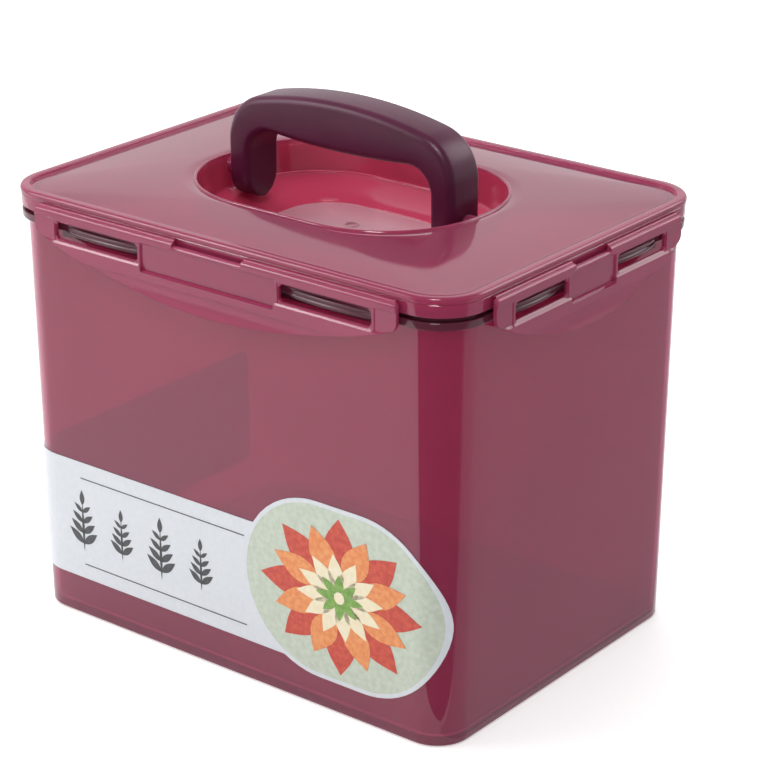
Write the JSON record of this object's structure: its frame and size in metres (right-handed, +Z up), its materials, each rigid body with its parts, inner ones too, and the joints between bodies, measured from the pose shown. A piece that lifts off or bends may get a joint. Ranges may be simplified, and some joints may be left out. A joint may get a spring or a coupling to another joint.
{
  "type": "food storage container",
  "caption": "Tall rectangular translucent plastic food container with a sealed domed lid, a hinged locking flap on each side and a carry handle that folds into a well in the lid.",
  "frame": {"origin": "centre of the base, on the surface it stands on", "axes": "+X along the long side to the right as seen from the front, +Y to the back, +Z up"},
  "size_m": [0.2388, 0.1798, 0.2241],
  "materials": {
    "tub_plastic": "translucent wine red, smooth gloss",
    "lid_plastic": "translucent wine red, smooth gloss",
    "handle_plastic": "opaque dark plum, fine matte texture",
    "label_film": "smooth printed film",
    "seal": "milky soft silicone"
  },
  "bodies": {
    "tub": {"tub": "tub_plastic", "label": "label_film"},
    "lid": {"lid": "lid_plastic", "gasket": "seal", "front_web_left": "lid_plastic", "front_web_right": "lid_plastic", "back_web_left": "lid_plastic", "back_web_right": "lid_plastic", "left_web_front": "lid_plastic", "left_web_back": "lid_plastic", "right_web_front": "lid_plastic", "right_web_back": "lid_plastic"},
    "handle": {"handle": "handle_plastic"},
    "front_flap": {"front_flap": "lid_plastic"},
    "back_flap": {"back_flap": "lid_plastic"},
    "left_flap": {"left_flap": "lid_plastic"},
    "right_flap": {"right_flap": "lid_plastic"}
  },
  "joints": [
    {"name": "lid_lift", "type": "slide", "parent": "tub", "child": "lid", "axis": [0, 0, 1], "range_m": [0, 0.06]},
    {"name": "front_flap_hinge", "type": "hinge", "parent": "lid", "child": "front_flap", "pos_m": [0, -0.0866, 0.1839], "axis": [-1, 0, 0], "range_deg": [0, 120], "deforming": ["front_web_left", "front_web_right"]},
    {"name": "back_flap_hinge", "type": "hinge", "parent": "lid", "child": "back_flap", "pos_m": [0, 0.0866, 0.1839], "axis": [1, 0, 0], "range_deg": [0, 120], "deforming": ["back_web_left", "back_web_right"]},
    {"name": "left_flap_hinge", "type": "hinge", "parent": "lid", "child": "left_flap", "pos_m": [-0.1161, 0, 0.1839], "axis": [0, 1, 0], "range_deg": [0, 120], "deforming": ["left_web_front", "left_web_back"]},
    {"name": "right_flap_hinge", "type": "hinge", "parent": "lid", "child": "right_flap", "pos_m": [0.1161, 0, 0.1839], "axis": [0, -1, 0], "range_deg": [0, 120], "deforming": ["right_web_front", "right_web_back"]},
    {"name": "handle_fold", "type": "hinge", "parent": "lid", "child": "handle", "pos_m": [0, 0, 0.1843], "axis": [1, 0, 0], "range_deg": [-90, 90]}
  ]
}
